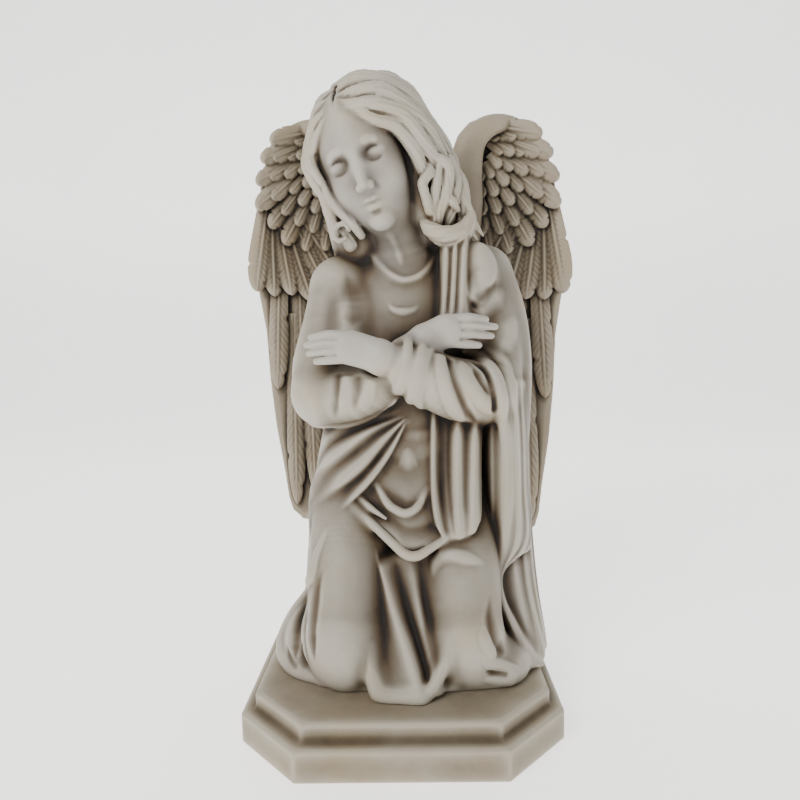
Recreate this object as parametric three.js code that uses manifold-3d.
// A kneeling angel, cast in stone, on a stepped plinth with clipped corners.
// Millimetres, +Z up. The angel faces -Y, and the origin is the middle of the plinth's underside.
// The figure and the wings are modelled as clay is: lumps are pressed together on a grid of
// distances, folds and locks are pushed up or in along curves, and the zero surface is skinned.
import * as THREE from "three";
import { mergeVertices } from "three/addons/utils/BufferGeometryUtils.js";
import Module from "manifold-3d";

const wasm = await Module();
wasm.setup();

// ---------------------------------------------------------------- driving sizes
const plinth = { width: 380, depth: 420, lowerStep: 38, upperStep: 20.5, ledge: 16, clip: 74 };
const floorZ = plinth.lowerStep + plinth.upperStep;
const cell = { figure: 4 };
const faces = { figure: 6400, wing: 1700 };
const far = 60;

// ---------------------------------------------------------------- the clay
const mix = (a, b, t) => a + (b - a) * t;
const clamp = (v, lo, hi) => Math.min(hi, Math.max(lo, v));
const point = (p) => new THREE.Vector3(...p);

function softMin(a, b, blend) {
  const h = Math.max(blend - Math.abs(a - b), 0) / blend;
  return Math.min(a, b) - (h * h * blend) / 4;
}

class Clay {
  constructor(low, high, size) {
    this.low = low;
    this.size = size;
    this.count = low.map((v, i) => Math.ceil((high[i] - v) / size) + 1);
    this.depth = new Float32Array(this.count[0] * this.count[1] * this.count[2]).fill(far);
  }

  index(i, j, k) {
    return (k * this.count[1] + j) * this.count[0] + i;
  }

  // Calls change(old distance, x, y, z) for each grid point inside a box.
  inside(box, change) {
    const [a, b] = [0, 1].map((side) =>
      this.low.map((v, i) =>
        clamp(Math[side ? "floor" : "ceil"]((box[side][i] - v) / this.size), 0, this.count[i] - 1)));
    for (let k = a[2]; k <= b[2]; k++)
      for (let j = a[1]; j <= b[1]; j++)
        for (let i = a[0]; i <= b[0]; i++) {
          const n = this.index(i, j, k);
          this.depth[n] = change(
            this.depth[n],
            this.low[0] + i * this.size,
            this.low[1] + j * this.size,
            this.low[2] + k * this.size);
        }
  }

  add(shape, blend = 12) {
    this.inside(shape.box(blend + 12), (old, x, y, z) => softMin(old, shape.at(x, y, z), blend));
  }

  cut(shape, blend = 6) {
    this.inside(shape.box(blend + 12), (old, x, y, z) => -softMin(-old, shape.at(x, y, z), blend));
  }

  // Raises a ridge, or sinks a crease where height is negative, along a curve on the surface.
  stroke(curve, width, height, sharp = 0.3) {
    this.inside(curve.box(width), (old, x, y, z) => {
      const { gap, along } = curve.nearest(x, y, z);
      const weight = curve.weight(along);
      const t = gap / (width * (0.45 + 0.55 * weight));
      if (t >= 1) return old;
      const round = (1 - t * t) ** 2;
      const keen = (1 - t) ** 2;
      return old - height * weight * mix(round, keen, sharp);
    });
  }

  value(x, y, z) {
    const at = [x, y, z].map((v, i) => clamp((v - this.low[i]) / this.size, 0, this.count[i] - 1.001));
    const [i, j, k] = at.map(Math.floor);
    const [u, v, w] = [at[0] - i, at[1] - j, at[2] - k];
    const line = (jj, kk) => mix(this.depth[this.index(i, jj, kk)], this.depth[this.index(i + 1, jj, kk)], u);
    return mix(mix(line(j, k), line(j + 1, k), v), mix(line(j, k + 1), line(j + 1, k + 1), v), w);
  }

  // Fills hollows that nothing reaches from outside, and clears crumbs that hang free of the body.
  settle(seed) {
    const [nx, ny] = this.count;
    const steps = [1, -1, nx, -nx, nx * ny, -nx * ny];
    const reach = (start, wanted) => {
      const seen = new Uint8Array(this.depth.length);
      const queue = [start];
      seen[start] = 1;
      while (queue.length) {
        const n = queue.pop();
        for (const s of steps) {
          const m = n + s;
          if (m < 0 || m >= seen.length || seen[m] || this.depth[m] < 0 !== wanted) continue;
          seen[m] = 1;
          queue.push(m);
        }
      }
      return seen;
    };
    const outside = reach(0, false);
    this.depth.forEach((d, n) => {
      if (d >= 0 && !outside[n]) this.depth[n] = -0.5 * this.size;
    });
    const at = seed.map((v, i) => Math.round((v - this.low[i]) / this.size));
    const body = reach(this.index(...at), true);
    this.depth.forEach((d, n) => {
      if (d < 0 && !body[n]) this.depth[n] = 0.5 * this.size;
    });
  }

  // The first surface point on a ray, or the point nearest to the clay where the ray misses.
  hit(from, direction, reach = 500) {
    let best = [far, 0];
    for (let t = 0; t < reach; t += 1.5) {
      const d = this.value(...from.map((v, i) => v + direction[i] * t));
      if (d < best[0]) best = [d, t];
      if (d <= 0) break;
    }
    return from.map((v, i) => v + direction[i] * best[1]);
  }

  front(x, z) {
    return this.hit([x, -240, z], [0, 1, 0], 400);
  }

  // turn is in degrees from the front, positive towards +X, seen around the body's own axis.
  around(turn, z, axis = [10, 20]) {
    const a = THREE.MathUtils.degToRad(turn);
    const out = [Math.sin(a), -Math.cos(a)];
    return this.hit([axis[0] + out[0] * 260, axis[1] + out[1] * 260, z], [-out[0], -out[1], 0], 260);
  }
}

// ---------------------------------------------------------------- shapes
const grow = (low, high, margin) => [low.map((v) => v - margin), high.map((v) => v + margin)];

class Curve {
  constructor(points, radii = [1], { ends = [0, 0], steps = 4, flat = null } = {}) {
    const path = new THREE.CatmullRomCurve3(points.map(point), false, "catmullrom", 0.5);
    this.points = points.length > 2 ? path.getPoints((points.length - 1) * steps) : points.map(point);
    this.radii = radii;
    this.ends = ends;
    this.low = ["x", "y", "z"].map((c) => Math.min(...this.points.map((p) => p[c])));
    this.high = ["x", "y", "z"].map((c) => Math.max(...this.points.map((p) => p[c])));
    this.flat = flat; // { way: unit vector, by: how many times thinner along it }
  }

  // How wide the curve's round section is at a share of its length.
  radius(along) {
    const at = along * (this.radii.length - 1);
    const i = Math.min(Math.floor(at), this.radii.length - 2);
    return this.radii.length === 1 ? this.radii[0] : mix(this.radii[i], this.radii[i + 1], at - i);
  }

  // Full strength along the middle, fading over the share of the length that each end gives.
  weight(along) {
    const [start, end] = this.ends;
    const a = start > 0 ? THREE.MathUtils.smoothstep(along, 0, start) : 1;
    const b = end > 0 ? THREE.MathUtils.smoothstep(1 - along, 0, end) : 1;
    return a * b;
  }

  nearest(x, y, z) {
    let best = Infinity;
    let along = 0;
    const last = this.points.length - 1;
    for (let i = 0; i < last; i++) {
      const [a, b] = [this.points[i], this.points[i + 1]];
      const [ux, uy, uz] = [b.x - a.x, b.y - a.y, b.z - a.z];
      let [px, py, pz] = [x - a.x, y - a.y, z - a.z];
      const t = clamp((px * ux + py * uy + pz * uz) / (ux * ux + uy * uy + uz * uz), 0, 1);
      px -= ux * t;
      py -= uy * t;
      pz -= uz * t;
      let gap = px * px + py * py + pz * pz;
      if (this.flat) {
        const w = px * this.flat.way[0] + py * this.flat.way[1] + pz * this.flat.way[2];
        gap += w * w * (this.flat.by ** 2 - 1);
      }
      if (gap < best) {
        best = gap;
        along = (i + t) / last;
      }
    }
    return { gap: Math.sqrt(best), along };
  }

  at(x, y, z) {
    const { gap, along } = this.nearest(x, y, z);
    return (gap - this.radius(along)) / (this.flat ? 0.5 + this.flat.by / 2 : 1);
  }

  box(margin) {
    return grow(this.low, this.high, margin + Math.max(...this.radii));
  }
}

const rod = (points, radii, options) => new Curve(points, radii, options);

class Egg {
  constructor(centre, radii, turn = [0, 0, 0]) {
    this.centre = centre;
    this.radii = radii;
    const euler = new THREE.Euler(...turn.map(THREE.MathUtils.degToRad), "ZYX");
    this.back = new THREE.Matrix4().makeRotationFromEuler(euler).invert();
    this.turned = turn.some((v) => v !== 0);
    this.probe = new THREE.Vector3();
  }

  at(x, y, z) {
    const p = this.probe.set(x - this.centre[0], y - this.centre[1], z - this.centre[2]);
    if (this.turned) p.applyMatrix4(this.back);
    const [a, b, c] = this.radii;
    const near = Math.hypot(p.x / a, p.y / b, p.z / c);
    const slope = Math.hypot(p.x / (a * a), p.y / (b * b), p.z / (c * c));
    return slope < 1e-9 ? -Math.min(a, b, c) : (near * (near - 1)) / slope;
  }

  box(margin) {
    const reach = this.turned ? this.radii.map(() => Math.max(...this.radii)) : this.radii;
    return grow(this.centre.map((v, i) => v - reach[i]), this.centre.map((v, i) => v + reach[i]), margin);
  }
}

const egg = (centre, radii, turn) => new Egg(centre, radii, turn);

// A stack of oval sections, [z, x, y, half width, half depth], pushed out by ripple(turn, z).
class Stack {
  constructor(sections, ripple = () => 0) {
    this.sections = sections;
    this.ripple = ripple;
  }

  section(z) {
    const s = this.sections;
    const last = s.length - 1;
    const v = clamp(z, s[0][0], s[last][0]);
    const i = Math.min(s.findIndex((row, n) => n === last - 1 || s[n + 1][0] >= v), last - 1);
    const t = THREE.MathUtils.smoothstep(v, s[i][0], s[i + 1][0]) * 0.4 + ((v - s[i][0]) / (s[i + 1][0] - s[i][0])) * 0.6;
    return s[i].map((value, n) => mix(value, s[i + 1][n], t));
  }

  at(x, y, z) {
    const [, cx, cy, a, b] = this.section(z);
    const [px, py] = [x - cx, y - cy];
    const near = Math.hypot(px / a, py / b);
    const slope = Math.hypot(px / (a * a), py / (b * b));
    const turn = Math.atan2(px, -py);
    const side = slope < 1e-9 ? -Math.min(a, b) : (near * (near - 1)) / slope;
    const rise = Math.max(this.sections[0][0] - z, z - this.sections[this.sections.length - 1][0]);
    return -softMin(-(side - this.ripple(turn, z)), -rise, 20);
  }

  box(margin) {
    const s = this.sections;
    const low = [Math.min(...s.map((r) => r[1] - r[3])), Math.min(...s.map((r) => r[2] - r[4])), s[0][0]];
    const high = [Math.max(...s.map((r) => r[1] + r[3])), Math.max(...s.map((r) => r[2] + r[4])), s[s.length - 1][0]];
    return grow(low, high, margin + 15);
  }
}

// ---------------------------------------------------------------- skin
const cubeCorners = [[0, 0, 0], [1, 0, 0], [0, 1, 0], [1, 1, 0], [0, 0, 1], [1, 0, 1], [0, 1, 1], [1, 1, 1]];
const tetrahedra = [[0, 1, 3, 7], [0, 3, 2, 7], [0, 2, 6, 7], [0, 6, 4, 7], [0, 4, 5, 7], [0, 5, 1, 7]];

// The zero surface by marching tetrahedra, which always closes: { points, triangles }.
function skin(clay) {
  const [nx, ny, nz] = clay.count;
  const { depth, low, size } = clay;
  const points = [];
  const triangles = [];
  const made = new Map();
  const total = nx * ny * nz;
  const place = (n) => [n % nx, Math.floor(n / nx) % ny, Math.floor(n / (nx * ny))];
  const between = (a, b) => {
    const key = a < b ? a * total + b : b * total + a;
    let found = made.get(key);
    if (found === undefined) {
      const t = clamp(depth[a] / (depth[a] - depth[b]), 0.02, 0.98);
      const [p, q] = [place(a), place(b)];
      found = points.length / 3;
      for (let c = 0; c < 3; c++) points.push(low[c] + mix(p[c], q[c], t) * size);
      made.set(key, found);
    }
    return found;
  };
  for (let k = 0; k < nz - 1; k++)
    for (let j = 0; j < ny - 1; j++)
      for (let i = 0; i < nx - 1; i++) {
        const corner = cubeCorners.map(([a, b, c]) => clay.index(i + a, j + b, k + c));
        const within = corner.filter((n) => depth[n] < 0).length;
        if (within === 0 || within === 8) continue;
        for (const tet of tetrahedra) {
          const ids = tet.map((n) => corner[n]);
          const solid = ids.filter((n) => depth[n] < 0);
          const empty = ids.filter((n) => depth[n] >= 0);
          if (!solid.length || !empty.length) continue;
          // The tetrahedra share one handedness, so the order of corners gives each face's way out.
          const even = isEven(ids, solid, empty);
          if (solid.length === 1 || empty.length === 1) {
            const one = solid.length === 1 ? solid[0] : empty[0];
            const rest = solid.length === 1 ? empty : solid;
            const [a, b, c] = rest.map((n) => between(one, n));
            triangles.push(...(even ? [a, b, c] : [a, c, b]));
          } else {
            const [a, b] = [between(solid[0], empty[0]), between(solid[0], empty[1])];
            const [c, d] = [between(solid[1], empty[1]), between(solid[1], empty[0])];
            triangles.push(...(even ? [a, b, c, a, c, d] : [a, c, b, a, d, c]));
          }
        }
      }
  return { points, triangles };
}

function isEven(ids, solid, empty) {
  const order = (solid.length === 3 ? [...empty, ...solid] : [...solid, ...empty]).map((n) => ids.indexOf(n));
  let swaps = 0;
  for (let a = 0; a < 4; a++) for (let b = a + 1; b < 4; b++) if (order[a] > order[b]) swaps++;
  return (swaps % 2 === 0) === (solid.length !== 3);
}

// ---------------------------------------------------------------- thinning
// Joins the ends of the edges that change the surface least, by quadric error, until few faces are left.
// Where care returns more than 1 the shape is kept more closely.
function thin({ points, triangles }, wanted, care = () => 1) {
  const count = points.length / 3;
  const quadrics = Array.from({ length: count }, () => new Float64Array(10));
  const around = Array.from({ length: count }, () => new Set());
  const tri = [];
  const at = (v) => [points[3 * v], points[3 * v + 1], points[3 * v + 2]];
  const normal = (a, b, c) => {
    const u = b.map((v, i) => v - a[i]);
    const w = c.map((v, i) => v - a[i]);
    return [u[1] * w[2] - u[2] * w[1], u[2] * w[0] - u[0] * w[2], u[0] * w[1] - u[1] * w[0]];
  };
  for (let t = 0; t < triangles.length; t += 3) {
    const v = triangles.slice(t, t + 3);
    tri.push(v);
    v.forEach((n) => around[n].add(tri.length - 1));
    const p = at(v[0]);
    const raw = normal(p, at(v[1]), at(v[2]));
    const area = Math.hypot(...raw) || 1e-9;
    const [a, b, c] = raw.map((x) => x / area);
    const d = -(a * p[0] + b * p[1] + c * p[2]);
    const q = [a * a, a * b, a * c, a * d, b * b, b * c, b * d, c * c, c * d, d * d].map((x) => x * area);
    const keep = care(...p);
    v.forEach((n) => q.forEach((x, i) => (quadrics[n][i] += x * keep)));
  }
  const error = (q, [x, y, z]) =>
    q[0] * x * x + 2 * q[1] * x * y + 2 * q[2] * x * z + 2 * q[3] * x + q[4] * y * y +
    2 * q[5] * y * z + 2 * q[6] * y + q[7] * z * z + 2 * q[8] * z + q[9];
  const best = (a, b) => {
    const q = quadrics[a].map((x, i) => x + quadrics[b][i]);
    const [p, r] = [at(a), at(b)];
    const middle = p.map((x, i) => (x + r[i]) / 2);
    const choices = [p, r, middle];
    const det =
      q[0] * (q[4] * q[7] - q[5] * q[5]) - q[1] * (q[1] * q[7] - q[5] * q[2]) + q[2] * (q[1] * q[5] - q[4] * q[2]);
    const span = Math.hypot(...p.map((x, i) => x - r[i]));
    if (Math.abs(det) > 1e-3 * (q[0] + q[4] + q[7]) ** 3 * 1e-2) {
      const x = [-q[3], -q[6], -q[8]];
      const solve = [
        (x[0] * (q[4] * q[7] - q[5] ** 2) - q[1] * (x[1] * q[7] - q[5] * x[2]) + q[2] * (x[1] * q[5] - q[4] * x[2])) / det,
        (q[0] * (x[1] * q[7] - q[5] * x[2]) - x[0] * (q[1] * q[7] - q[5] * q[2]) + q[2] * (q[1] * x[2] - x[1] * q[2])) / det,
        (q[0] * (q[4] * x[2] - x[1] * q[5]) - q[1] * (q[1] * x[2] - x[1] * q[2]) + x[0] * (q[1] * q[5] - q[4] * q[2])) / det,
      ];
      if (Math.hypot(...solve.map((v, i) => v - middle[i])) < 2 * span) choices.push(solve);
    }
    const costs = choices.map((c) => error(q, c));
    const n = costs.indexOf(Math.min(...costs));
    return { cost: Math.max(costs[n], 0) + 1e-4 * span * span, place: choices[n] };
  };
  const heap = [];
  const swap = (a, b) => ([heap[a], heap[b]] = [heap[b], heap[a]]);
  const push = (item) => {
    heap.push(item);
    for (let n = heap.length - 1; n > 0 && heap[(n - 1) >> 1].cost > heap[n].cost; n = (n - 1) >> 1) swap(n, (n - 1) >> 1);
  };
  const pop = () => {
    const top = heap[0];
    const last = heap.pop();
    if (heap.length) {
      heap[0] = last;
      for (let n = 0; ; ) {
        let low = n;
        for (const c of [2 * n + 1, 2 * n + 2]) if (c < heap.length && heap[c].cost < heap[low].cost) low = c;
        if (low === n) break;
        swap(n, low);
        n = low;
      }
    }
    return top;
  };
  const stamp = new Uint32Array(count);
  const neighbours = (v) => {
    const found = new Set();
    around[v].forEach((t) => tri[t].forEach((n) => n !== v && found.add(n)));
    return found;
  };
  const offer = (a, b) => push({ ...best(a, b), a, b, when: stamp[a] + stamp[b] });
  for (let v = 0; v < count; v++) neighbours(v).forEach((n) => v < n && offer(v, n));
  let left = tri.length;
  const flips = (v, other, place) =>
    [...around[v]].some((t) => {
      if (tri[t].includes(other)) return false;
      const before = normal(...tri[t].map(at));
      const after = normal(...tri[t].map((n) => (n === v ? place : at(n))));
      const dot = before[0] * after[0] + before[1] * after[1] + before[2] * after[2];
      return dot < 0.3 * Math.hypot(...before) * Math.hypot(...after);
    });
  while (left > wanted && heap.length) {
    const { a, b, when, place } = pop();
    if (!around[a] || !around[b] || when !== stamp[a] + stamp[b]) continue;
    const [na, nb] = [neighbours(a), neighbours(b)];
    if (!na.has(b)) continue;
    if ([...na].filter((n) => nb.has(n)).length !== 2) continue;
    if (flips(a, b, place) || flips(b, a, place)) continue;
    for (const t of around[b]) {
      if (tri[t].includes(a)) {
        tri[t].forEach((n) => n !== b && around[n].delete(t));
        tri[t] = null;
        left--;
      } else {
        tri[t] = tri[t].map((n) => (n === b ? a : n));
        around[a].add(t);
      }
    }
    around[b] = null;
    quadrics[b].forEach((x, i) => (quadrics[a][i] += x));
    place.forEach((x, i) => (points[3 * a + i] = x));
    stamp[a] = Math.max(stamp[a], stamp[b]) + 1;
    neighbours(a).forEach((n) => offer(a, n));
  }
  return { points, triangles: tri.filter(Boolean).flat() };
}

// ---------------------------------------------------------------- head
const head = { centre: [-34, 3, 704], nod: 16, roll: -18, turn: -14 };
const headTurn = [head.nod, head.roll, head.turn];
const headMatrix = new THREE.Matrix4()
  .makeRotationFromEuler(new THREE.Euler(...headTurn.map(THREE.MathUtils.degToRad), "ZYX"))
  .setPosition(point(head.centre));
// A point of the head: across to its left, back from its ears, and up from its eyes.
const onHead = (p) => point(p).applyMatrix4(headMatrix).toArray();
const headEgg = (centre, radii) => egg(onHead(centre), radii, headTurn);
const headRod = (points, radii, options) => rod(points.map(onHead), radii, options);
const bothSides = (make) => [-1, 1].forEach(make);

function sculptFace(clay) {
  clay.add(headEgg([0, 9, 21], [63, 77, 72]), 20);
  clay.add(headEgg([0, -20, -25], [50, 49, 70]), 22);
  clay.add(headEgg([0, -28, -60], [37, 36, 37]), 20);
  clay.add(headEgg([0, -54, -88], [14, 11, 11]), 14);
  bothSides((s) => clay.add(headEgg([s * 28, -42, -36], [18, 16, 21]), 18));
  bothSides((s) => clay.cut(headEgg([s * 24, -79, 0], [15, 13, 9]), 13));
  bothSides((s) => clay.add(headEgg([s * 23.5, -57, -3], [12, 10.5, 9.5]), 3.5));
  clay.add(headRod([[0, -65, 9], [0, -74, -14], [0, -84, -35]], [4.5, 5, 6.5]), 9);
  bothSides((s) => clay.add(headEgg([s * 6.5, -76, -39], [5, 6.5, 4.5]), 4.5));
  clay.add(headRod([[-14, -66, -60], [0, -74, -57], [14, -66, -60]], [2.6, 4.4, 2.6]), 5);
  clay.add(headRod([[-10, -67, -66], [0, -73, -66], [10, -67, -66]], [2.6, 4.4, 2.6]), 5);
  clay.stroke(headRod([[-17, -64, -62], [0, -77, -61], [17, -64, -62]], [1], { ends: [0.3, 0.3] }), 4.5, -2.6, 0.8);
  bothSides((s) =>
    clay.stroke(headRod([[s * 36, -56, -4], [s * 24, -68, -9], [s * 11, -64, -5]], [1], { ends: [0.2, 0.2] }), 4, -1.6));
}

// Locks sweep from the parting over a smooth cap, each [points, radii].
const rightLocks = [
  [[[-18, -59, 64], [8, -66, 62], [40, -60, 47], [62, -44, 24], [76, -28, -6], [80, -16, -36]], [6, 11, 14, 15, 14, 10]],
  [[[-16, -46, 78], [16, -54, 80], [54, -46, 66], [78, -26, 38], [88, -10, 4], [88, 2, -34]], [8, 14, 16, 16, 15, 11]],
  [[[-14, -20, 90], [24, -26, 93], [62, -22, 74], [83, -4, 44], [90, 10, 8], [88, 18, -34]], [8, 14, 15, 15, 15, 12]],
  [[[-10, 12, 94], [28, 6, 95], [66, 14, 70], [84, 26, 38], [88, 36, 0], [84, 40, -36]], [9, 15, 15, 15, 15, 13]],
  [[[-4, 44, 86], [32, 46, 82], [60, 54, 56], [72, 60, 20], [72, 60, -24]], [10, 15, 15, 15, 13]],
];
const leftLocks = [
  [[[-24, -57, 60], [-42, -50, 45], [-55, -40, 18], [-60, -32, -12]], [5, 9, 9, 6]],
  [[[-22, -43, 74], [-45, -36, 57], [-58, -24, 26], [-62, -16, -8], [-57, -12, -34]], [7, 10, 11, 10, 7]],
  [[[-20, -16, 88], [-45, -8, 67], [-60, 6, 30], [-63, 12, -10], [-60, 14, -40]], [8, 11, 12, 11, 9]],
  [[[-18, 16, 92], [-42, 26, 67], [-58, 38, 28], [-60, 42, -14], [-58, 42, -44]], [9, 12, 12, 12, 10]],
  [[[-12, 46, 84], [-34, 54, 58], [-45, 64, 22], [-46, 64, -20]], [10, 13, 13, 12]],
];

function sculptHair(clay) {
  clay.add(headEgg([15, 22, 20], [78, 74, 76]), 4);
  for (const [points, radii] of [...rightLocks, ...leftLocks]) clay.add(headRod(points, radii), 11);
  // Behind the right-hand cheek the hair hangs to the shoulder and turns into a roll.
  clay.add(rod([[42, 10, 700], [46, 18, 660], [44, 26, 616]], [28, 26, 26]), 8);
  clay.add(rod([[60, -14, 686], [66, -12, 660], [60, -8, 632], [46, -8, 618]], [8, 12, 11, 8]), 5);
  clay.add(rod([[70, 4, 690], [76, 4, 664], [72, 2, 638], [66, 0, 620]], [12, 12, 11, 8]), 4);
  clay.add(rod([[76, 20, 690], [88, 18, 662], [98, 18, 636], [96, 20, 614]], [13, 12, 11, 10]), 5);
  clay.add(rod([[38, 0, 616], [50, -12, 602], [72, -12, 597], [92, -2, 608], [98, 14, 626]], [7, 12, 13, 12, 8]), 3);
  clay.add(rod([[60, 44, 700], [70, 60, 650], [62, 66, 600]], [28, 30, 26]), 8);
  for (const [x, z] of [[100, 640], [108, 622], [100, 602]])
    clay.add(rod([[84, 20, z + 10], [x, 12, z], [x + 10, 16, z - 14]], [8, 6, 2.5]), 3);
  // Locks down the left-hand cheek to the shoulder.
  clay.add(rod([[-98, -10, 716], [-98, -14, 696], [-88, -18, 674], [-76, -18, 656]], [9, 10, 11, 7]), 4);
  clay.add(rod([[-90, 8, 700], [-82, 2, 665], [-74, 0, 634], [-74, 0, 612]], [14, 13, 10, 10]), 4);
  clay.add(rod([[-74, -20, 668], [-60, -18, 640], [-50, -10, 612], [-50, 0, 598]], [7, 10, 9, 8]), 4);
  clay.add(rod([[-80, 44, 700], [-70, 50, 660], [-60, 54, 606]], [28, 28, 24]), 8);
  clay.cut(rod([[-78, -12, 616], [-74, -2, 618]], [4.5, 4]), 2);
  // Hair at the nape falls between the wings.
  clay.add(rod([[-10, 70, 700], [0, 80, 640], [6, 82, 586]], [48, 42, 34]), 10);
  clay.stroke(headRod([[-21, -68, 54], [-21, -60, 72], [-18, -36, 92], [-15, 0, 102], [-10, 50, 96], [-4, 88, 66]], [1]),
    11, -8, 0.8);
}

// ---------------------------------------------------------------- body
function sculptTorso(clay) {
  clay.add(new Stack([
    [250, 4, 40, 104, 70],
    [300, 8, 38, 92, 66],
    [345, 12, 36, 86, 62],
    [400, 13, 33, 90, 66],
    [460, 14, 32, 94, 74],
    [510, 18, 36, 94, 74],
    [545, 20, 42, 92, 66],
    [572, 18, 46, 74, 54],
    [596, 12, 48, 46, 44],
  ]), 10);
  clay.add(egg([-70, 40, 542], [44, 44, 42]), 16);
  clay.add(egg([106, 44, 550], [46, 46, 44]), 16);
  clay.add(rod([[16, 42, 560], [2, 24, 610], [-10, 14, 660]], [48, 40, 40]), 12);
}

function ring(centre, axis, radius, tube, options) {
  const along = point(axis).normalize();
  const side = new THREE.Vector3(0, 0, 1).cross(along).normalize();
  const rise = along.clone().cross(side);
  const turns = 12;
  const points = Array.from({ length: turns + 1 }, (_, n) => {
    const a = (2 * Math.PI * n) / turns;
    return point(centre).addScaledVector(side, radius[0] * Math.cos(a)).addScaledVector(rise, radius[1] * Math.sin(a)).toArray();
  });
  return rod(points, [tube], options);
}

// Soft bands round the nearer forearm: centre, radii across and up, and how thick.
const sleeveBands = [
  [[34, -71, 426], [29, 33], 6],
  [[50, -65, 420], [33, 35], 7],
  [[70, -56, 412], [35, 38], 6],
];

function sculptArms(clay) {
  clay.add(rod([[-74, 32, 542], [-84, 12, 490], [-93, -6, 440], [-94, -18, 404]], [40, 40, 43, 42]), 12);
  clay.add(rod([[112, 36, 548], [124, 18, 480], [122, -6, 420], [112, -26, 402]], [40, 42, 42, 40]), 12);
  clay.cut(rod([[-50, -36, 560], [-54, -44, 520], [-52, -54, 478]], [3, 7, 7]), 12);
  // Forearm sleeves cross in front of the waist, the one on the right of the view over the other.
  clay.add(rod([[-94, -22, 402], [-52, -42, 408], [-10, -54, 426], [16, -58, 444]], [41, 38, 31, 24]), 8);
  clay.add(rod([[108, -34, 404], [76, -54, 408], [46, -68, 420], [20, -76, 432]], [40, 38, 35, 31]), 6);
  clay.add(ring([18, -77, 434], [-1, -0.12, 0.2], [24, 28], 8), 5);
  clay.add(ring([4, -80, 440], [-1, -0.12, 0.2], [23, 27], 8), 4);
  for (const [centre, radius, tube] of sleeveBands) clay.add(ring(centre, [-1, 0.55, 0.35], radius, tube), 7);
  clay.cut(rod([[2, -80, 441], [-30, -86, 448]], [24, 20]), 3);
}

// One hand: a wrist, a flat back and four fingers side by side.
function sculptHand(clay, { wrist, palm, fingers, thick }) {
  clay.add(rod(wrist.points, wrist.radii, { flat: wrist.flat }), 8);
  clay.add(rod(palm.points, palm.radii, { flat: palm.flat }), 8);
  for (const f of fingers) clay.add(rod(f, [thick, thick, thick * 0.86]), 2);
}

const frontHand = {
  wrist: { points: [[16, -80, 438], [-20, -88, 451]], radii: [18, 20], flat: { way: [0, -1, 0], by: 1.15 } },
  palm: { points: [[-24, -87, 455], [-52, -83, 461]], radii: [21, 23], flat: { way: [0.2, -0.98, 0], by: 1.8 } },
  fingers: [
    [[-48, -82, 476], [-76, -78, 477], [-103, -66, 471]],
    [[-50, -84, 466], [-80, -81, 467], [-108, -67, 466]],
    [[-50, -85, 456], [-80, -81, 457], [-106, -68, 458]],
    [[-50, -84, 446], [-76, -80, 446], [-96, -72, 449]],
  ],
  thick: 6.6,
};
const rearHand = {
  wrist: { points: [[10, -58, 456], [32, -64, 466]], radii: [18, 18], flat: { way: [0, -1, 0], by: 1.1 } },
  palm: { points: [[36, -66, 470], [62, -65, 477]], radii: [19, 22], flat: { way: [-0.2, -0.98, 0], by: 1.8 } },
  fingers: [
    [[62, -64, 493], [92, -60, 496], [117, -48, 494]],
    [[64, -66, 484], [96, -62, 486], [127, -46, 485]],
    [[64, -67, 474], [94, -62, 475], [122, -48, 475]],
    [[62, -66, 464], [86, -62, 464], [107, -53, 465]],
  ],
  thick: 6.4,
};

// ---------------------------------------------------------------- robe
function sculptRobe(clay) {
  clay.add(new Stack([
    [40, 10, 18, 162, 150],
    [64, 10, 18, 160, 150],
    [84, 10, 20, 144, 138],
    [120, 8, 24, 130, 118],
    [170, 6, 30, 122, 96],
    [220, 4, 34, 118, 80],
    [260, 4, 38, 106, 70],
    [300, 8, 38, 92, 66],
  ]), 16);
  // Thighs come down to the knees, and the shins lie back on the plinth.
  clay.add(rod([[-56, 6, 262], [-64, -52, 196], [-68, -94, 124]], [60, 52, 47]), 16);
  clay.add(rod([[66, 6, 252], [74, -54, 186], [78, -94, 116]], [58, 52, 46]), 16);
  clay.add(egg([-66, -102, 98], [47, 48, 50]), 12);
  clay.add(egg([79, -102, 96], [46, 46, 48]), 12);
  clay.add(rod([[-62, -60, 92], [-58, 60, 92], [-52, 140, 84]], [46, 44, 38]), 24);
  clay.add(rod([[76, -60, 92], [72, 60, 92], [66, 140, 84]], [46, 44, 38]), 24);
  clay.cut(rod([[6, -112, 214], [4, -138, 160], [4, -158, 110], [4, -166, 76]], [10, 20, 22, 18]), 14);
  clay.add(rod([[-10, -88, 180], [-8, -112, 120], [-4, -134, 62]], [14, 24, 28], { flat: { way: [0, -1, 0], by: 1.7 } }), 10);
  // The hem between the knees is folded in a W.
  clay.add(rod([[-32, -88, 190], [-16, -108, 150], [-1, -128, 108], [14, -146, 78], [24, -154, 62]], [4, 8, 10, 11, 9]), 9);
  clay.add(rod([[22, -154, 62], [42, -150, 78], [56, -142, 104], [63, -132, 126]], [9, 8, 7, 3]), 9);
  clay.add(rod([[-37, -128, 122], [-36, -146, 92], [-31, -154, 62]], [3, 7, 8]), 9);
  clay.add(rod([[-32, -152, 60], [-4, -160, 59], [24, -156, 60]], [8, 7, 8]), 8);
  clay.add(rod([[22, -88, 200], [25, -104, 152], [31, -120, 118], [42, -136, 92]], [3, 7, 7, 4]), 7);
  // A rounded lobe lies on the plinth beside the left-hand knee.
  clay.add(egg([-130, -14, 86], [32, 54, 38]), 12);
  clay.add(rod([[-132, -6, 130], [-152, -26, 100], [-158, -42, 74], [-146, -72, 64], [-112, -108, 66]], [6, 8, 8, 8, 7]), 7);
}

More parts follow.
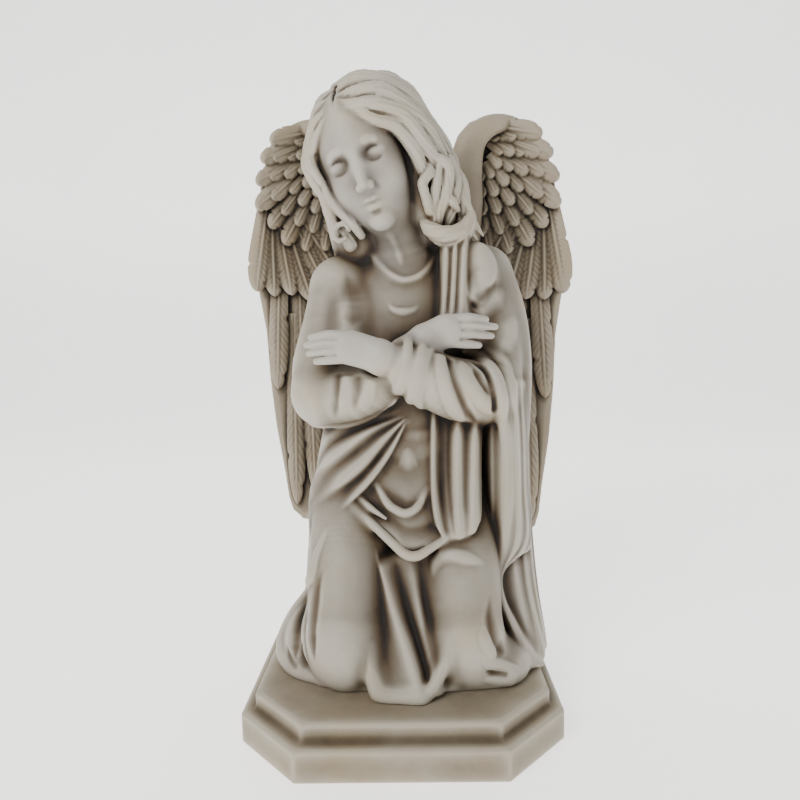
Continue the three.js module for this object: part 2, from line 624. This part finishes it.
function sculptMantle(clay) {
  // The mantle on the right of the view: shoulder, over the arm, and down to the floor behind.
  clay.add(rod([[126, 48, 560], [144, 42, 500], [152, 32, 430], [150, 26, 350]], [34, 34, 34, 32]), 14);
  clay.add(rod([[150, 26, 400], [148, 22, 300], [146, 14, 200], [146, 0, 110], [146, -10, 64]], [32, 32, 34, 38, 44]), 12);
  clay.add(rod([[126, 74, 420], [128, 78, 300], [128, 80, 180], [128, 80, 80]], [36, 38, 40, 44]), 16);
  clay.add(rod([[132, -34, 404], [140, -24, 350], [142, -32, 270], [136, -38, 205], [130, -46, 150]], [12, 13, 14, 14, 10]), 10);
  clay.add(rod([[144, -16, 420], [158, -4, 340], [163, -8, 250], [162, -18, 180]], [13, 13, 13, 11]), 10);
  clay.add(rod([[128, -48, 158], [134, -60, 120], [152, -76, 84], [174, -88, 62]], [8, 9, 9, 7]), 8);
  clay.add(rod([[166, -14, 190], [174, -22, 130], [180, -40, 88], [184, -66, 62]], [9, 11, 11, 10]), 8);
  clay.cut(rod([[153, -52, 168], [154, -62, 130], [166, -80, 98]], [8, 10, 7]), 6);
  // Over the left hip, gathered at the waist under the crossed arms.
  clay.add(rod([[6, -34, 372], [-40, -34, 330], [-84, -14, 290], [-98, 30, 276]], [10, 17, 20, 24]), 8);
  clay.add(rod([[8, -38, 370], [-32, -50, 320], [-74, -46, 272], [-106, -16, 236], [-112, 40, 204]], [7, 11, 13, 15, 20]), 5);
  clay.add(rod([[-4, -38, 350], [-30, -48, 304], [-62, -56, 260], [-98, -36, 222], [-116, 0, 180], [-116, 40, 130]],
    [5, 9, 11, 12, 14, 18]), 5);
  clay.add(rod([[-80, 70, 300], [-94, 76, 200], [-104, 80, 90]], [34, 38, 42]), 20);
  // The apron between the thighs ends in a rolled V, and a U-ended fold hangs beside it.
  clay.add(rod([[10, -26, 330], [8, -44, 284], [10, -62, 250]], [36, 42, 36]), 14);
  clay.add(rod([[-18, -62, 262], [12, -78, 234], [40, -72, 244]], [16, 18, 16], { flat: { way: [0, -0.8, 0.6], by: 1.3 } }), 10);
  clay.add(rod([[-58, -58, 274], [-38, -76, 252], [-16, -88, 234], [14, -98, 210], [34, -96, 214], [54, -88, 228]],
    [4, 6, 7, 8, 7, 5]), 8);
  clay.add(rod([[-28, -54, 284], [-12, -66, 266], [12, -70, 256], [26, -66, 268], [33, -58, 284]], [3, 5, 6, 5, 3]), 5);
  clay.add(rod([[74, -24, 376], [74, -46, 310], [72, -66, 262]], [26, 28, 28], { flat: { way: [0, -1, 0], by: 1.3 } }), 6);
  clay.add(rod([[52, -36, 366], [50, -58, 310], [51, -78, 258], [62, -86, 238], [74, -88, 232]], [9, 10, 10, 9, 8]), 5);
  clay.add(rod([[92, -38, 366], [92, -62, 310], [90, -82, 262], [82, -88, 240], [72, -88, 232]], [13, 15, 14, 11, 8]), 5);
  clay.cut(rod([[74, -60, 350], [73, -86, 290], [70, -106, 250]], [4, 5, 4]), 5);
}

// Folds drawn on the surface: routes as x, z seen from the front, with height in millimetres.
const folds = [
  { route: [[-8, 186], [0, 150], [10, 112]], width: 12, height: -8 },
  { route: [[-24, 120], [-16, 90], [-8, 70]], width: 14, height: -8 },
  { route: [[42, 208], [37, 172], [36, 140], [44, 112]], width: 12, height: 6 },
  // over the right-hand knee and its side
  { route: [[44, 184], [47, 205], [60, 212], [80, 208], [104, 196]], width: 12, height: 6 },
  { route: [[122, 114], [110, 102], [102, 100]], width: 12, height: 7 },
  { route: [[100, 84], [118, 78], [140, 76]], width: 12, height: 7 },
  { route: [[112, 96], [124, 90], [136, 90]], width: 12, height: -8 },
  // the outer edge of the left-hand thigh
  { route: [[-84, 246], [-100, 210], [-110, 178], [-117, 146], [-119, 114], [-114, 88], [-98, 72]], width: 11, height: 8 },
  { route: [[-96, 176], [-104, 140], [-104, 108], [-96, 84]], width: 13, height: -8 },
  { route: [[-128, 110], [-136, 88], [-134, 70]], width: 9, height: -6 },
  { route: [[-122, 96], [-124, 80], [-120, 68]], width: 9, height: -6 },
  // across the waist
  { route: [[0, 364], [-50, 314], [-106, 258]], width: 10, height: -7 },
  { route: [[-4, 344], [-48, 286], [-86, 248]], width: 9, height: -6 },
  { route: [[-30, 334], [-90, 304], [-122, 288]], width: 10, height: -5 },
  { route: [[-3, 355], [20, 353], [48, 354]], width: 5, height: -3 },
  { route: [[-3, 341], [20, 340], [48, 340]], width: 5, height: -3 },
  // chest and shoulders
  { route: [[-8, 518], [2, 508], [14, 504], [26, 507], [34, 515]], width: 8, height: 5 },
  { route: [[-2, 522], [14, 516], [28, 520]], width: 10, height: -4 },
  { route: [[66, 598], [62, 548], [58, 500]], width: 9, height: -8 },
  { route: [[77, 598], [70, 546], [65, 500]], width: 9, height: 6 },
  { route: [[87, 598], [78, 566], [72, 500]], width: 8, height: -8 },
  { route: [[94, 598], [86, 552], [80, 500]], width: 10, height: 7 },
  { route: [[101, 600], [97, 562], [92, 500]], width: 9, height: -8 },
  { route: [[134, 562], [119, 538], [103, 512], [94, 498]], width: 20, height: 5 },
  { route: [[152, 534], [138, 512], [124, 494]], width: 18, height: 4 },
  { route: [[142, 550], [126, 522], [110, 498]], width: 14, height: -4 },
  // sleeves
  { route: [[-70, 438], [-72, 412], [-71, 386]], width: 9, height: -6 },
  { route: [[-60, 436], [-60, 410], [-62, 380]], width: 10, height: 5 },
  { route: [[-30, 424], [-40, 398], [-44, 376]], width: 10, height: 4 },
  { route: [[76, 452], [106, 443], [124, 426], [137, 400], [144, 356]], width: 12, height: 9 },
];
const collar = [[-52, 610], [-39, 600], [-18, 578], [-2, 561], [14, 550], [37, 564], [51, 583], [57, 598]];

function drawFolds(clay) {
  for (const { route, width, height } of folds) {
    const onSurface = route.map(([x, z]) => clay.front(x, z));
    clay.stroke(rod(onSurface, [1], { ends: [0.25, 0.25] }), width, height, height < 0 ? 0.6 : 0.2);
  }
  clay.add(rod(collar.map(([x, z]) => clay.front(x, z)), [3, 3.5, 3]), 3);
  clay.cut(rod([[14, -34, 574], [10, -24, 590]], [6, 8]), 14);
}

// ---------------------------------------------------------------- back and underside
function backFolds(clay) {
  for (let n = 0; n < 9; n++) {
    const turn = 112 + n * 17;
    const sway = 5 * Math.sin(n * 2.1);
    const route = [[turn - sway, 60], [turn, 150], [turn + sway, 250], [turn, 350]];
    const onSurface = route.map(([a, z]) => clay.around(a, z, [10, 40]));
    clay.stroke(rod(onSurface, [1], { ends: [0.02, 0.5] }), 22, n % 2 ? 8 : 10);
  }
}

const back = 112;
function sculptFigure() {
  const clay = new Clay([-182, -192, 44], [214, 202, 828], cell.figure);
  sculptRobe(clay);
  sculptTorso(clay);
  sculptMantle(clay);
  sculptArms(clay);
  drawFolds(clay);
  sculptHand(clay, frontHand);
  sculptHand(clay, rearHand);
  sculptFace(clay);
  sculptHair(clay);
  backFolds(clay);
  // The back is flat where the wings lie on it, and the underside is flat on the plinth.
  clay.inside([[-400, -400, 0], [400, 400, 900]], (old, x, y, z) =>
    Math.max(old, floorZ + 0.3 - z, z > 330 ? y - back : y - back - (330 - z) * 1.2));
  clay.settle([10, 20, 400]);
  return clay;
}

// ---------------------------------------------------------------- wings
const wing = { middle: 12, front: back + 0.3, thick: 15, top: 799, left: [0.94, 0.975], right: [1, 1.03] };
// Down the right-hand wing from its top: height, inner and outer edge across from the middle.
const wingOutline = [
  [799, 124, 152], [788, 98, 182], [768, 80, 202], [738, 71, 219], [700, 64, 229], [645, 58, 236], [590, 56, 245],
  [540, 58, 242], [480, 66, 234], [402, 80, 232], [323, 100, 226], [250, 124, 216], [200, 146, 206], [176, 160, 196],
];

function wingEdges(z) {
  const rows = wingOutline;
  const n = clamp(rows.findIndex((r) => r[0] <= z), 1, rows.length - 1);
  const [upper, lower] = [rows[n - 1], rows[n]];
  const t = clamp((upper[0] - z) / (upper[0] - lower[0]), 0, 1);
  return [mix(upper[1], lower[1], t), mix(upper[2], lower[2], t)];
}

// How far back the wing's feathered face lies: hollow in the middle, forward at both edges.
function wingFace(x, z) {
  const [inner, outer] = wingEdges(z);
  const across = clamp((x - inner) / (outer - inner), 0, 1);
  const hollow = Math.sin(Math.PI * across ** 0.8) ** 0.8;
  const high = THREE.MathUtils.smoothstep(z, 420, 700);
  return wing.front + 10 + mix(30, 6, high) * across ** 0.5 + mix(8, 26, high) * hollow + mix(12, 0, THREE.MathUtils.smoothstep(z, 200, 480));
}

// A closed solid, turned so that its faces point out.
function solid(points, triangles) {
  const volume = triangles.reduce((sum, [a, b, c]) =>
    sum + point(points[a]).dot(point(points[b]).cross(point(points[c]))), 0);
  if (volume < 0) triangles.forEach((t) => t.reverse());
  return new wasm.Manifold(new wasm.Mesh({
    numProp: 3,
    vertProperties: new Float32Array(points.flat()),
    triVerts: new Uint32Array(triangles.flat()),
  }));
}

// Rings of equal count, joined and closed at both ends by a fan.
function loft(rings) {
  const m = rings[0].length;
  const points = rings.flat();
  const triangles = [];
  for (let r = 0; r < rings.length - 1; r++)
    for (let n = 0; n < m; n++) {
      const [a, b] = [r * m + n, r * m + ((n + 1) % m)];
      triangles.push([a, b, b + m], [a, b + m, a + m]);
    }
  for (let n = 1; n < m - 1; n++) {
    triangles.push([0, n + 1, n]);
    const end = (rings.length - 1) * m;
    triangles.push([end, end + n, end + n + 1]);
  }
  return solid(points, triangles);
}

function wingSlab() {
  const steps = 5;
  const rings = wingOutline.filter((_, n) => n % 2 < 1 || n > 11).map(([z, inner, outer]) => {
    const across = Array.from({ length: steps }, (_, n) => mix(inner, outer, n / (steps - 1)));
    const edge = (x) => Math.min(1, 0.25 + Math.min(x - inner, outer - x) / 12);
    const face = across.map((x) => [x, wingFace(x, z), z]);
    const rear = across.map((x) => [x, wingFace(x, z) + wing.thick * edge(x) + 3, z]).reverse();
    return [...face, ...rear];
  });
  return loft(rings);
}

// A feather from root to tip (x, z), side -1 on the front of the wing and 1 on its back.
function feather({ root, tip, width, lift, side = -1, round = 0.3, tilt = 1.6 }) {
  const shares = [0, 0.66, 0.87, 0.98];
  const way = new THREE.Vector2(tip[0] - root[0], tip[1] - root[1]);
  const across = new THREE.Vector2(way.y, -way.x).normalize();
  const rings = shares.map((t) => {
    const wide = (width / 2) * (t < 1 - round ? mix(0.75, 1, t / (1 - round)) : Math.sqrt(Math.max(1 - ((t - 1 + round) / round) ** 2, 0.02)));
    const [x, z] = [mix(root[0], tip[0], t), mix(root[1], tip[1], t)];
    const y = (u, rise) => {
      const face = wingFace(x + across.x * u, z + across.y * u) + (side > 0 ? wing.thick : 0);
      return face + side * rise;
    };
    const up = mix(0.5, lift, t);
    const at = (u, rise) => [x + across.x * u, y(u, rise), z + across.y * u];
    return [at(-wide, up - tilt), at(0, up + 2.4), at(wide, up + tilt), at(0, -5)];
  });
  return loft(rings);
}

// One row of feathers, with its tips on an arc and its quills fanned from above.
function featherRow({ from, to, sag, count, length, width, lift, side, fan = 0.5, hub = [120, 860] }) {
  return Array.from({ length: count }, (_, n) => {
    const t = count > 1 ? n / (count - 1) : 0.5;
    const tip = [mix(from[0], to[0], t), mix(from[1], to[1], t) - sag * Math.sin(Math.PI * t)];
    const out = new THREE.Vector2(tip[0] - hub[0], tip[1] - hub[1]).normalize().multiplyScalar(fan);
    const way = out.add(new THREE.Vector2(0, -1 + fan)).normalize();
    const root = [tip[0] - way.x * length, tip[1] - way.y * length];
    return feather({ root, tip, width, lift: lift + 0.7 * Math.abs(n - (count - 1) / 2), side, round: Math.min(0.35, (width * 0.6) / length) });
  });
}

const frontRows = [
  { from: [140, 262], to: [200, 186], sag: 12, count: 4, length: 260, width: 30, lift: 4, fan: 0.15 },
  { from: [84, 470], to: [226, 360], sag: 6, count: 6, length: 190, width: 32, lift: 5, fan: 0.25 },
  { from: [78, 520], to: [232, 540], sag: 62, count: 6, length: 130, width: 32, lift: 8, fan: 0.35 },
  { from: [104, 632], to: [228, 648], sag: 42, count: 7, length: 80, width: 26, lift: 9, fan: 0.5 },
  { from: [112, 668], to: [222, 700], sag: 34, count: 7, length: 46, width: 21, lift: 6, fan: 0.6 },
  { from: [116, 700], to: [212, 734], sag: 22, count: 6, length: 38, width: 20, lift: 5, fan: 0.7 },
  { from: [126, 728], to: [196, 758], sag: 12, count: 5, length: 32, width: 19, lift: 4, fan: 0.8 },
];
const rearRows = [
  { from: [118, 330], to: [206, 220], sag: 10, count: 4, length: 250, width: 34, lift: 3, fan: 0.2, side: 1 },
  { from: [78, 480], to: [222, 420], sag: 20, count: 5, length: 200, width: 38, lift: 4, fan: 0.25, side: 1 },
  { from: [76, 600], to: [228, 590], sag: 30, count: 5, length: 150, width: 38, lift: 5, fan: 0.3, side: 1 },
];

function wingSolid() {
  const band = loft([
    [[58, 470], 8], [[54, 560], 15], [[58, 640], 17], [[66, 700], 18], [[84, 752], 18],
    [[116, 782], 16], [[156, 788], 12], [[190, 772], 8], [[212, 744], 4],
  ].map(([[x, z], r], n, all) => {
    const [p, q] = [all[Math.max(n - 1, 0)][0], all[Math.min(n + 1, all.length - 1)][0]];
    const across = new THREE.Vector2(q[1] - p[1], -(q[0] - p[0])).normalize();
    const middle = wing.front + 22;
    return Array.from({ length: 8 }, (_, k) => {
      const a = (2 * Math.PI * k) / 8;
      const out = r * 1.25 * Math.cos(a);
      return [x + 12 + across.x * out, middle - Math.max(Math.min(r, 16) * 1.2, 5) * Math.sin(a), z - 12 + across.y * out];
    });
  }));
  const parts = [wingSlab(), band, ...[...frontRows, ...rearRows].flatMap(featherRow)];
  return wasm.Manifold.union(parts);
}

function mirrored({ points: half, triangles: order }, side, [narrow, long]) {
  const points = [];
  for (let n = 0; n < half.length; n += 3) {
    const [x, y, z] = half.slice(n, n + 3);
    points.push(wing.middle + side * narrow * x, y, wing.top + long * (z - wing.top));
  }
  const triangles = [...order];
  if (side < 0) for (let n = 0; n < triangles.length; n += 3) [triangles[n], triangles[n + 1]] = [triangles[n + 1], triangles[n]];
  return { points, triangles };
}

// ---------------------------------------------------------------- plinth
function octagon(inset) {
  const [x, y] = [plinth.width / 2 - inset, plinth.depth / 2 - inset];
  const clip = plinth.clip - inset * (2 - Math.SQRT2);
  const corners = [[x - clip, -y], [x, -y + clip], [x, y - clip], [x - clip, y], [-x + clip, y], [-x, y - clip], [-x, -y + clip], [-x + clip, -y]];
  return new THREE.Shape(corners.map(([a, b]) => new THREE.Vector2(a, b)));
}

function step(inset, low, high) {
  const edge = 1.6;
  const geometry = new THREE.ExtrudeGeometry(octagon(inset + edge), {
    depth: high - low - 2 * edge, bevelEnabled: true, bevelSize: edge, bevelThickness: edge, bevelSegments: 1,
  });
  return geometry.translate(0, 0, low + edge);
}

function toSolid(geometry) {
  const bare = geometry.clone();
  bare.deleteAttribute("normal");
  bare.deleteAttribute("uv");
  const merged = mergeVertices(bare, 1e-4);
  return new wasm.Manifold(new wasm.Mesh({
    numProp: 3,
    vertProperties: merged.attributes.position.array,
    triVerts: new Uint32Array(merged.index.array),
  }));
}

// ---------------------------------------------------------------- the object
function toGeometry({ points, triangles }) {
  const geometry = new THREE.BufferGeometry();
  geometry.setAttribute("position", new THREE.Float32BufferAttribute(points, 3));
  geometry.setIndex([...triangles]);
  geometry.computeVertexNormals();
  return geometry;
}

const stone = (colour, roughness) => new THREE.MeshStandardMaterial({ color: colour, roughness, metalness: 0 });

function named(name, geometry, material) {
  const mesh = new THREE.Mesh(geometry, material);
  mesh.name = name;
  return mesh;
}

const steps = toSolid(step(0, 0, plinth.lowerStep)).add(toSolid(step(plinth.ledge, plinth.lowerStep - 6, floorZ))).getMesh();
const wingMesh = wingSolid().getMesh();

const halfWing = thin({ points: [...wingMesh.vertProperties], triangles: [...wingMesh.triVerts] }, faces.wing);

// Faces are spent on the face and hands first, and least on the back.
function figureCare(x, y, z) {
  const face = onHead([0, -50, -25]);
  if (Math.hypot(x - face[0], y - face[1], z - face[2]) < 68) return 14;
  if (z > 435 && z < 505 && y < -42) return 10;
  return y > 60 ? 0.2 : 1;
}

const angel = new THREE.Group();
angel.add(named("plinth", toGeometry({ points: [...steps.vertProperties], triangles: steps.triVerts }), stone(0xbfb49f, 0.7)));
angel.add(named("angel_figure", toGeometry(thin(skin(sculptFigure()), faces.figure, figureCare)), stone(0xc9c1b3, 0.6)));
angel.add(named("left_wing", toGeometry(mirrored(halfWing, -1, wing.left)), stone(0xa79c88, 0.7)));
angel.add(named("right_wing", toGeometry(mirrored(halfWing, 1, wing.right)), stone(0xa79c88, 0.7)));
export default angel;
